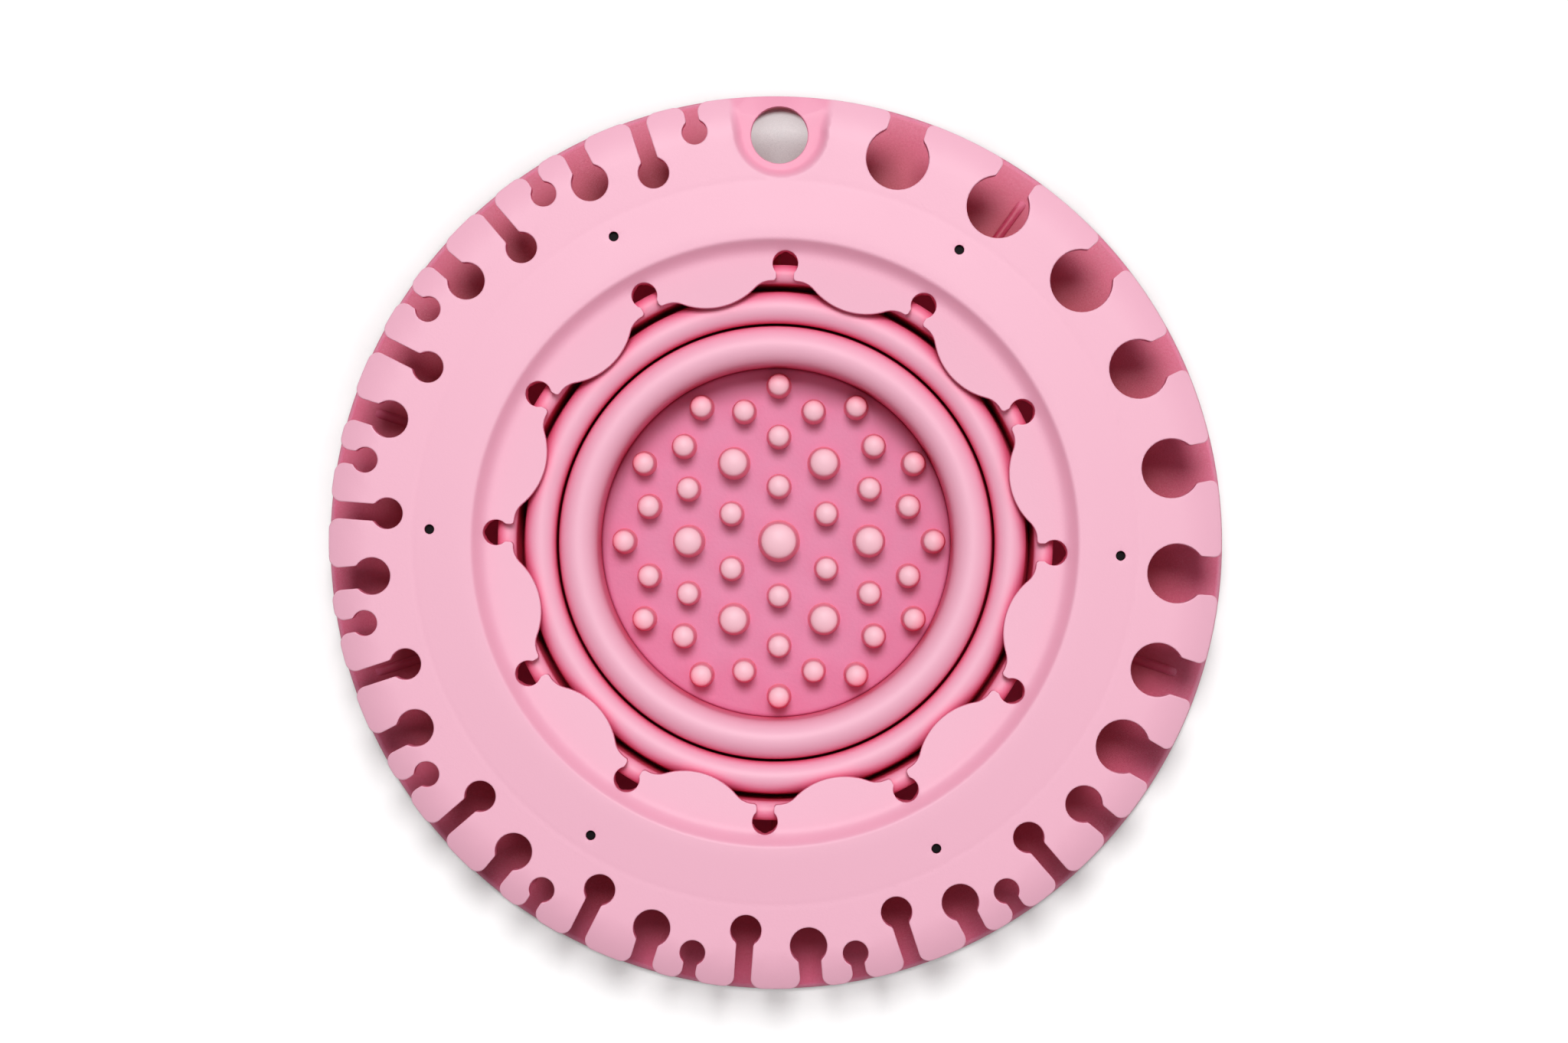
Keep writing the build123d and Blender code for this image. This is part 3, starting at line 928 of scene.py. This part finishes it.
# %% Turn a section into a piece
def made_by_tree(name, source, tree, settings):
    """Run a Geometry Nodes tree on a source mesh, and return the result as a plain mesh."""
    carrier = bpy.data.objects.new(name + "_source", source)
    bpy.context.scene.collection.objects.link(carrier)
    modifier = carrier.modifiers.new("made", "NODES")
    modifier.node_group = tree
    for socket in tree.interface.items_tree:
        if socket.in_out == "INPUT" and socket.name in settings:
            modifier[socket.identifier] = settings[socket.name]
    evaluated = carrier.evaluated_get(bpy.context.evaluated_depsgraph_get())
    mesh = bpy.data.meshes.new_from_object(evaluated)
    bpy.data.objects.remove(carrier)
    return mesh


def turned_piece(name, section, body, finish=silicone, steps=192, closed=True):
    """Turn a section, a list of (radius, height) in millimetres, into a round piece."""
    places = [(r * MM - lathe_radius, -z * MM, 0) for r, z in section]
    edges = [(i, i + 1) for i in range(len(places) - 1)]
    edges += [(len(places) - 1, 0)] if closed else []
    source = bpy.data.meshes.new(name + "_section")
    source.from_pydata(places, edges, [])
    settings = {"Steps": steps, "Finish": finish}
    return linked_piece(name, made_by_tree(name, source, lathe, settings), body)


print(f"the lathe's circle has a radius of {lathe_radius / MM:.0f} mm")

# %% [markdown]
# A fold's section is a leg with a half-round crown that turns outwards, like a hem. The crown is
# hollow underneath, so that the next web can hang inside it. Each section is drawn from its
# width and wall, clockwise, with the free corners rounded.

# %% Turn the three folds
fold_wall, lip_drop, lip_round, foot_bevel = 1.6, 0.6, 0.35, 0.3
inner_roll_width = 6.8        # of the model's first fold
first_groove, second_groove = 0.55, 1.5
inner_inside, inner_width = inner_roll_outer - inner_roll_width, 7.6
middle_inside, middle_width = inner_inside + inner_width + first_groove, 6.25
outer_inside, outer_width = middle_inside + middle_width + second_groove, 3.8
foot_splay = 0.8              # the middle fold's foot stands this much wider than its top


def section_arc(centre, radius, start, end, count):
    """Points on an arc of a section. Angles are in radians."""
    angles = np.linspace(start, end, count)
    return [(centre[0] + radius * cos(a), centre[1] + radius * sin(a)) for a in angles]


def fold_outline(inside_radius, width, arch_z, foot_z, splay=0.0):
    """Section of one fold: over the crown, round the lip, back under it and down the leg."""
    middle, lip_z = inside_radius + width / 2, arch_z - lip_drop
    over = section_arc((middle, arch_z), width / 2, pi, 0, 29)
    under = section_arc((middle, arch_z), width / 2 - fold_wall, 0, pi, 15)
    lip = section_arc((over[-1][0] - lip_round, lip_z), lip_round, 0, -pi / 2, 4)
    lip += section_arc((under[0][0] + lip_round, lip_z), lip_round, -pi / 2, -pi, 4)
    leg_in, leg_out = inside_radius + splay, inside_radius + fold_wall + splay
    foot = [(leg_out, foot_z + foot_bevel), (leg_out - foot_bevel, foot_z),
            (leg_in + foot_bevel, foot_z), (leg_in, foot_z + foot_bevel)]
    return over + lip + under + foot


print(f"folds from {inner_inside:.2f}, {middle_inside:.2f} and {outer_inside:.2f} mm,",
      f"where the model's rolls end at {inner_roll_outer:.2f}, {middle_roll_outer:.2f}",
      f"and {outer_roll_outer:.2f} mm")
# node, body, inside radius, width, top, foot and splay of the foot
folds = {
    "inner_fold": ("inner_roll", "base", inner_inside, inner_width, inner_crown_z,
                   floor_seat_z, 0),
    "middle_fold": ("middle_roll", "middle_fold", middle_inside, middle_width, middle_crown_z,
                    fold_foot_z, foot_splay),
    "rim_fold": ("outer_roll", "rim", outer_inside, outer_width, outer_crown_z,
                 outer_foot_z, 0),
}
for name, (node, body, inside_radius, width, crown_z, foot_z, splay) in folds.items():
    section = fold_outline(inside_radius, width, crown_z - width / 2, foot_z, splay)
    fold = turned_piece(name, section, body)
    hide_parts(node)
    print(name, len(fold.data.polygons), "faces")

# %% [markdown]
# ## The webs that turn inside out
# Between two folds hangs a thin web. As the next fold is pulled up, the web flips over, and its
# lower edge ends as high above its upper edge as it was below. It is one piece of rubber with
# both folds, and here it is built where it hangs, riding on no body.

# %% Turn the two webs
web_wall, web_rows, web_overlap = 0.8, 13, 0.1


def web_outline(top_outside, foot_outside):
    """Section of a web with enough rows to bend."""
    rows = np.linspace(0, 1, web_rows)
    radii = top_outside + (foot_outside - top_outside) * rows
    heights = web_hang_z + (fold_foot_z - web_hang_z) * rows
    outer = list(zip(radii, heights))
    return outer + [(r - web_wall, z) for r, z in reversed(outer)]


# node, upper and lower body, outside radius at the top and at the foot
webs = {
    "first_web": ("inner_web", "base", "middle_fold", inner_inside + inner_width - web_overlap,
                  middle_inside + foot_splay + web_overlap),
    "second_web": ("outer_web", "middle_fold", "rim", middle_inside + middle_width - web_overlap,
                   outer_inside + web_overlap),
}
for name, (node, upper_body, lower_body, top_outside, foot_outside) in webs.items():
    web = turned_piece(name, web_outline(top_outside, foot_outside), None, steps=160)
    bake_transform(web)
    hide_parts(node)
    print(name, len(web.data.polygons), "faces")

# %% [markdown]
# ## The scrubbing floor
# The floor is a round pad with 43 soft nubs on seven rings. The pad is turned like the folds. Its
# nubs could be an array, but arrays can't follow rings of different sizes, so a second tree sets
# one piece on each point of a point cloud. The points carry each nub's radius and height, and a
# little seeded unevenness keeps them from looking stamped.


# %% Build the tree that sets pieces on points
def point_vector(tree, name):
    """The points' own vector attribute of this name."""
    attribute = tree.nodes.new("GeometryNodeInputNamedAttribute")
    attribute.data_type = "FLOAT_VECTOR"
    attribute.inputs["Name"].default_value = name
    return attribute.outputs["Attribute"]


def setting_out_tree():
    """Put one piece on each point, turned and scaled by the point's own attributes."""
    tree = bpy.data.node_groups.new("setting_out", "GeometryNodeTree")
    group_socket(tree, "Points", "Geometry")
    group_socket(tree, "Piece", "Object")
    group_socket(tree, "Unevenness", "Float", 0.0)
    group_socket(tree, "Seed", "Int", 3)
    group_socket(tree, "Finish", "Material")
    group_socket(tree, "Pieces", "Geometry", output=True)
    node, link = tree.nodes.new, tree.links.new
    given, result = node("NodeGroupInput"), node("NodeGroupOutput")
    piece = node("GeometryNodeObjectInfo")
    link(given.outputs["Piece"], piece.inputs["Object"])
    least = math_node(tree, "SUBTRACT", 1.0, given.outputs["Unevenness"])
    chance = node("FunctionNodeRandomValue")
    chance.inputs[3].default_value = 1.0
    link(least, chance.inputs[2])
    link(given.outputs["Seed"], chance.inputs["Seed"])
    scaled = node("ShaderNodeVectorMath")
    scaled.operation = "SCALE"
    link(point_vector(tree, "size"), scaled.inputs[0])
    link(chance.outputs[1], scaled.inputs["Scale"])
    place = node("GeometryNodeInstanceOnPoints")
    link(given.outputs["Points"], place.inputs["Points"])
    link(piece.outputs["Geometry"], place.inputs["Instance"])
    link(scaled.outputs[0], place.inputs["Scale"])
    link(point_vector(tree, "turn"), place.inputs["Rotation"])
    realize = node("GeometryNodeRealizeInstances")
    finish = node("GeometryNodeSetMaterial")
    link(place.outputs["Instances"], realize.inputs["Geometry"])
    link(realize.outputs["Geometry"], finish.inputs["Geometry"])
    link(given.outputs["Finish"], finish.inputs["Material"])
    link(finish.outputs["Geometry"], result.inputs["Pieces"])
    return tree


setting_out = setting_out_tree()
print("setting-out inputs:", input_names(setting_out))

# %% [markdown]
# The turn and the size of each copy are attributes of its point, which the tree reads. The piece
# itself comes in as an object, because a modifier's input can't be a mesh. That object goes when
# the result is copied.


# %% Set out one piece many times
def set_out(name, places, piece_mesh, body, finish, unevenness=0.0):
    """Repeat a piece at places given as (x, y, z, turn, (scale x, scale y, scale z))."""
    source = bpy.data.meshes.new(name + "_points")
    source.from_pydata([(x * MM, y * MM, z * MM) for x, y, z, _, _ in places], [], [])
    turns = source.attributes.new("turn", "FLOAT_VECTOR", "POINT")
    turns.data.foreach_set("vector", [v for place in places for v in (0, 0, radians(place[3]))])
    sizes = source.attributes.new("size", "FLOAT_VECTOR", "POINT")
    sizes.data.foreach_set("vector", [v for place in places for v in place[4]])
    pattern = bpy.data.objects.new(name + "_pattern", piece_mesh)
    bpy.context.scene.collection.objects.link(pattern)
    settings = {"Piece": pattern, "Unevenness": unevenness, "Finish": finish}
    mesh = made_by_tree(name, source, setting_out, settings)
    bpy.data.objects.remove(pattern)
    return linked_piece(name, mesh, body)


print(f"the random sizes start from seed {setting_out.interface.items_tree['Seed'].default_value}")

# %% [markdown]
# The pad fills the first fold. Its section is open at the axis, where the lathe's weld closes
# the poles, and its edge falls a little where the rubber meets the wall.

# %% Turn the pad
pad_thickness, pad_gap = 2.0, 0.02
pad_top_z = floor_seat_z + pad_thickness
pad_edge = inner_inside - pad_gap
pad_section = [(0, pad_top_z), (pad_edge - 1.2, pad_top_z), (pad_edge - 0.5, pad_top_z - 0.1),
               (pad_edge, pad_top_z - 0.3), (pad_edge, floor_seat_z), (0, floor_seat_z)]
pad = turned_piece("scrub_pad", pad_section, "base", scrub_silicone, closed=False)
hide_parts("scrub_floor")
print(f"pad radius {pad_edge:.2f}, top at {pad_top_z:.1f} mm, {len(pad.data.polygons)} faces")

# %% [markdown]
# A nub has a fillet at its root, hardly tapers, and ends in a low dome. It could be a cone with
# a Bevel modifier, but a profile gives each of the three its own curve. It is modelled once, with
# a radius and a height of 1, and each point scales it to a large, medium or small nub.


# %% Set out the nubs
def nub_mesh(steps=24):
    """One nub of radius 1 and height 1: a fillet at its root, a slight taper and a low dome."""
    dome, shoulder = 0.16, 0.84
    profile = [(1.28, -0.05), (1.22, 0.0), (1.17, 0.05), (1.13, 0.15), (1.09, 0.35), (1.03, 0.65),
               (1.0, shoulder)]
    profile += [(cos(a), shoulder + dome * sin(a)) for a in np.radians([20, 40, 58, 74])]
    points, faces = [], []
    for radius, height in profile:
        angles = np.arange(steps) * 2 * pi / steps
        points += [(radius * cos(a), radius * sin(a), height) for a in angles]
    points.append((0, 0, 1))
    for row in range(len(profile) - 1):
        for i in range(steps):
            j = (i + 1) % steps
            low, high = row * steps, (row + 1) * steps
            faces.append((low + i, low + j, high + j, high + i))
    last = (len(profile) - 1) * steps
    faces += [(last + i, last + (i + 1) % steps, len(points) - 1) for i in range(steps)]
    faces.append(tuple(range(steps))[::-1])
    mesh = bpy.data.meshes.new("nub")
    mesh.from_pydata(points, [], faces)
    return mesh


large_nub, medium_nub, small_nub = (3.55, 9.0), (2.8, 8.0), (2.15, 7.0)   # radius, height
# (circle radius, count, first angle, nub)
nub_rings = ((0, 1, 0, large_nub), (11.05, 6, 30, small_nub), (18.2, 6, 0, medium_nub),
             (21.1, 6, 30, small_nub), (27.1, 12, 15, small_nub), (31.2, 6, 0, small_nub),
             (31.4, 6, 30, small_nub))
nub_shift = (0.6, 0.3)   # the nubs sit a little off the bowl's axis
nub_sink = 0.02          # into the pad
nub_places = []
for ring_radius, count, first_angle, (nub_radius, nub_height) in nub_rings:
    for index in range(count):
        x, y = polar_point(ring_radius, first_angle + index * 360 / count)
        scale = (nub_radius * MM, nub_radius * MM, nub_height * MM)
        nub_places.append((x + nub_shift[0], y + nub_shift[1], pad_top_z - nub_sink, 0, scale))
nubs = set_out("scrub_nubs", nub_places, nub_mesh(), "base", nub_silicone, unevenness=0.03)
print("nubs:", len(nub_places), "with", len(nubs.data.polygons), "faces")

# %% [markdown]
# ## The drip disc
# Under everything lies a flat disc that catches the water. It has a thicker hub that the bowl
# stands on, and an eye that lines up with the hanging hole. The lathe could turn it, but not the
# eye, which is off the axis. So it is a flat moulding like the rack, with its own two formulas.
#
# Under the rack the hub's negative "painted_deepening" holds back the painted shade that would
# turn it black. It has a known fault: with the folds or the rack raised, the hub lies open, the
# power falls below 1 there, and the hub turns grey. A Math node that holds the power at 1 or
# more would mend it.

# %% Build the drip disc
flange_top_z, hub_radius, hub_wall_run, eye_radius = 2.6, outer_inside + 4.1, 1.0, 8.4
disc_rounds, eye_rounds = (1.2, 1.0), (0.6, 0.6)   # of the upper and the lower edge
# Less painted shade on the hub and for a few millimetres round it.
hub_painted_deepening, hub_relief_reach, hub_relief_fade = -2.0, 6, 3


def disc_top(plan):
    """Height of the disc's upper face: the hub, and the flange round it."""
    radius = np.hypot(plan[:, 0], plan[:, 1])
    hub = smoothstep((hub_radius - radius) / hub_wall_run)
    return flange_top_z + (hub_top_z - flange_top_z) * hub


def disc_bottom(plan):
    """The disc lies flat on the table."""
    return np.full(len(plan), table_z)


def build_disc():
    """The disc as one closed moulding, with its painted shade held back round the thick hub."""
    disc = Moulding()
    outer = circle((0, 0), base_radius, True, step=1.5)
    eye = reversed_outline(circle(hanging_hole_at, eye_radius, False))
    edges = [rounded_edge(disc, outer, disc_top, disc_bottom, *disc_rounds),
             rounded_edge(disc, eye, disc_top, disc_bottom, *eye_rounds)]
    hub_wall_radii = list(hub_radius - np.linspace(-0.2, 1.2, 8))
    upper = ring_points(hub_wall_radii + [20, 40, 59, 63, 75, 85], 180)
    lower = ring_points([20, 40, 60, 80], 60)
    disc.sheet([top for top, _ in edges], True, upper, disc_top)
    disc.sheet([bottom for _, bottom in edges], False, lower, disc_bottom)
    piece = finished_piece("drip_disc", disc.points, disc.faces, "base", disc_silicone)
    radii = np.hypot(*np.array(disc.points)[:, :2].T)
    near_hub = smoothstep((hub_radius + hub_relief_reach - radii) / hub_relief_fade)
    painted_deepening = piece.data.attributes.new("painted_deepening", "FLOAT", "POINT")
    painted_deepening.data.foreach_set("value", hub_painted_deepening * near_hub)
    return piece


drip_disc = build_disc()
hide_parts("base_disc")
print("drip disc:", len(drip_disc.data.polygons), "faces")

# %% [markdown]
# Ten thin ribs carry the water outwards. They are low bars with round backs that sink into the
# disc, and the tree that set out the nubs sets them out too. The one that points at the eye
# stops short of it.

# %% Set out the ribs
rib_count, rib_first_angle, rib_width, rib_steps = 10, 18, 2.0, 8
rib_low_z, rib_top_z = flange_top_z - 0.1, flange_top_z + 0.6
rib_inner, rib_outer = hub_radius - 1.0, base_radius - 5.0
rib_by_eye = hanging_hole_at[1] - eye_radius - 1.0
eye_angle = 90    # of the rib that points at the eye


def rib_mesh(length):
    """A bar along X with a round back and low ends, in metres."""
    # (place along the bar, share of its height)
    stations = [(0, 0.02), (0.4, 1), (length - 2.5, 1), (length - 1.0, 0.6), (length, 0.02)]
    points, faces = [], []
    for x, share in stations:
        rise = (rib_top_z - rib_low_z) * share
        for angle in np.linspace(0, pi, rib_steps + 1):
            y = rib_width / 2 * cos(angle)
            points.append((x * MM, y * MM, (rib_low_z + rise * sin(angle) ** 1.5) * MM))
    size = rib_steps + 1
    for row in range(len(stations) - 1):
        near, far = row * size, (row + 1) * size
        for i in range(size):
            j = (i + 1) % size
            faces.append((near + i, near + j, far + j, far + i))
    last = (len(stations) - 1) * size
    faces += [tuple(range(size))[::-1], tuple(range(last, last + size))]
    mesh = bpy.data.meshes.new("rib")
    mesh.from_pydata(points, [], faces)
    return mesh


rib_places = []
for index in range(rib_count):
    angle = rib_first_angle + 360 / rib_count * index
    outer = rib_by_eye if angle == eye_angle else rib_outer
    length_share = (outer - rib_inner) / (rib_outer - rib_inner)
    rib_places.append((*polar_point(rib_inner, angle), 0, angle, (length_share, 1, 1)))
ribs = set_out("drip_ribs", rib_places, rib_mesh(rib_outer - rib_inner), "base", disc_silicone)
print("ribs:", rib_count, "with", len(ribs.data.polygons), "faces")

# %% [markdown]
# ## The stiff ring
# The stiff ring keeps its own model, since its shape is right, and gets the black plastic that
# shows at the bottom of the pinholes.

# %% Give the stiff ring its finish
ring_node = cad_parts["stiffener_ring"]
ring_node.data.materials.clear()
ring_node.data.materials.append(stiffener_black)
print("stiff ring:", len(ring_node.data.polygons), "faces in", stiffener_black.name)

# %% [markdown]
# ## Table, light and camera
# The table is white to the camera, and still takes the object's shadow, because only part of its
# brightness is its own. That part fades where something covers the table, as in the hanging
# hole, which paints shade there. A stronger lamp would whiten it too, but would bleach the
# silicone as well.

# %% Lay the table
table_half_size, table_drop = 4.0, 0.0001     # in metres
table_tones = (0.66, 0.69)
table_glow = 0.5                              # its own share of white, in the open
# Painted shade: the table's glow fades where something covers it.
cover_distance = 0.06                         # how near something must be to cover it
cover_start, cover_end = 0.72, 0.5            # how open it is where the glow fades and ends


def table_finish():
    """White paper that keeps a soft shadow, with painted shade where something covers it."""
    material = bpy.data.materials.new("white_table")
    material.use_nodes = True
    tree = material.node_tree
    shader = tree.nodes["Principled BSDF"]
    shader.inputs["Roughness"].default_value = 0.9
    grain = tree.nodes.new("ShaderNodeTexNoise")
    grain.inputs["Scale"].default_value = 300.0
    place = tree.nodes.new("ShaderNodeTexCoord")
    tone = tree.nodes.new("ShaderNodeMapRange")
    tone.inputs["To Min"].default_value = table_tones[0]
    tone.inputs["To Max"].default_value = table_tones[1]
    tree.links.new(place.outputs["Object"], grain.inputs["Vector"])
    tree.links.new(grain.outputs["Fac"], tone.inputs["Value"])
    tree.links.new(tone.outputs["Result"], shader.inputs["Base Color"])
    # The glow fades by how open the table is, which paints shade under a cover.
    openness = tree.nodes.new("ShaderNodeAmbientOcclusion")
    openness.samples = openness_samples
    openness.inputs["Distance"].default_value = cover_distance
    glow = tree.nodes.new("ShaderNodeMapRange")
    glow.inputs["From Min"].default_value = cover_end
    glow.inputs["From Max"].default_value = cover_start
    glow.inputs["To Max"].default_value = table_glow
    tree.links.new(openness.outputs["AO"], glow.inputs["Value"])
    ray = tree.nodes.new("ShaderNodeLightPath").outputs
    seen = math_node(tree, "MAXIMUM", ray["Is Camera Ray"], ray["Is Glossy Ray"])
    strength = math_node(tree, "MULTIPLY", seen, glow.outputs["Result"])
    shader.inputs["Emission Color"].default_value = (1, 1, 1, 1)
    tree.links.new(strength, shader.inputs["Emission Strength"])
    return material


def flat_square(name, half_size, height):
    """A square sheet round the origin."""
    corners = [(-half_size, -half_size, height), (half_size, -half_size, height),
               (half_size, half_size, height), (-half_size, half_size, height)]
    mesh = bpy.data.meshes.new(name)
    mesh.from_pydata(corners, [], [(0, 1, 2, 3)])
    sheet = bpy.data.objects.new(name, mesh)
    bpy.context.scene.collection.objects.link(sheet)
    return sheet


table = flat_square("table", table_half_size, table_z * MM - table_drop)
table.data.materials.append(table_finish())
table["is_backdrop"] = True
print(f"table {2 * table_half_size:.0f} m wide")

# %% [markdown]
# The light is a soft key lamp high above, on the side of the hanging tab, so that shadows fall
# away from it. A wide lamp on the ceiling and one at the right side lighten the shadows, and
# the room gives the rest. One lamp alone would leave the grooves black.

# %% Hang the lamps
lamp_target = (0, 0, 0.02)
room_strength = 0.12
# place in metres, width in metres, power in watts
lamps = {
    "key_lamp": ((0.0, 0.68, 1.88), 0.6, 28.5),
    "ceiling_lamp": ((0.0, 0.0, 2.0), 2.2, 5.3),
    "side_lamp": ((1.64, 0.0, 1.15), 1.6, 4.0),
}


def area_lamp(name, place, target, size, power):
    """A square lamp that faces a target."""
    data = bpy.data.lights.new(name, "AREA")
    data.size = size
    data.energy = power
    lamp = bpy.data.objects.new(name, data)
    lamp.location = place
    lamp.rotation_euler = (Vector(target) - Vector(place)).to_track_quat("-Z", "Y").to_euler()
    bpy.context.scene.collection.objects.link(lamp)


for name, (place, size, power) in lamps.items():
    area_lamp(name, place, lamp_target, size, power)
world = bpy.data.worlds.new("room")
world.use_nodes = True
world.node_tree.nodes["Background"].inputs["Color"].default_value = (1, 1, 1, 1)
world.node_tree.nodes["Background"].inputs["Strength"].default_value = room_strength
bpy.context.scene.world = world
print("lamps:", ", ".join(f"{name} {power} W" for name, (_, _, power) in lamps.items()))

# %% [markdown]
# The camera looks straight down from 600 mm above the brim. It stands a little to the right of
# the object's axis, and its lens is shifted back, so that the object is seen slightly from one
# side and still lies where it does in the photograph. Turning the camera would skew the circles.

# %% Place the camera
image_width, image_height = 2048, 1362
pixels_per_mm = 6.66            # at the brim's height
centre_pixel = (1012.2, 708.5)  # where the object's axis meets the brim
camera_height = 600.0           # above the brim
camera_aside = (6.5, 0.0)       # from the object's axis
camera_reach = 20               # in metres, far enough for every view
sensor_width = 36.0
view_width = image_width / pixels_per_mm
seen_x = (image_width / 2 - centre_pixel[0]) / pixels_per_mm
seen_y = (centre_pixel[1] - image_height / 2) / pixels_per_mm
camera_data = bpy.data.cameras.new("camera")
camera_data.sensor_width = sensor_width
camera_data.lens = sensor_width * camera_height / view_width
camera_data.shift_x = (seen_x - camera_aside[0]) / view_width
camera_data.shift_y = (seen_y - camera_aside[1]) / view_width
camera_data.clip_end = camera_reach
camera = bpy.data.objects.new("camera", camera_data)
camera.location = (camera_aside[0] * MM, camera_aside[1] * MM, (rack_top_z + camera_height) * MM)
bpy.context.scene.collection.objects.link(camera)
bpy.context.scene.camera = camera
bpy.context.scene.view_settings.view_transform = "Standard"
print(f"lens {camera_data.lens:.1f} mm, shift {camera_data.shift_x:.4f},",
      f"{camera_data.shift_y:.4f}")

# %% [markdown]
# ## Size
# The box of the whole object is kept, and its size is printed.

# %% Measure the size
visual_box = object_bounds()
visual_size = [round((high - low) / MM, 1) for low, high in zip(*visual_box)]
print("visual size:", visual_size, "mm")
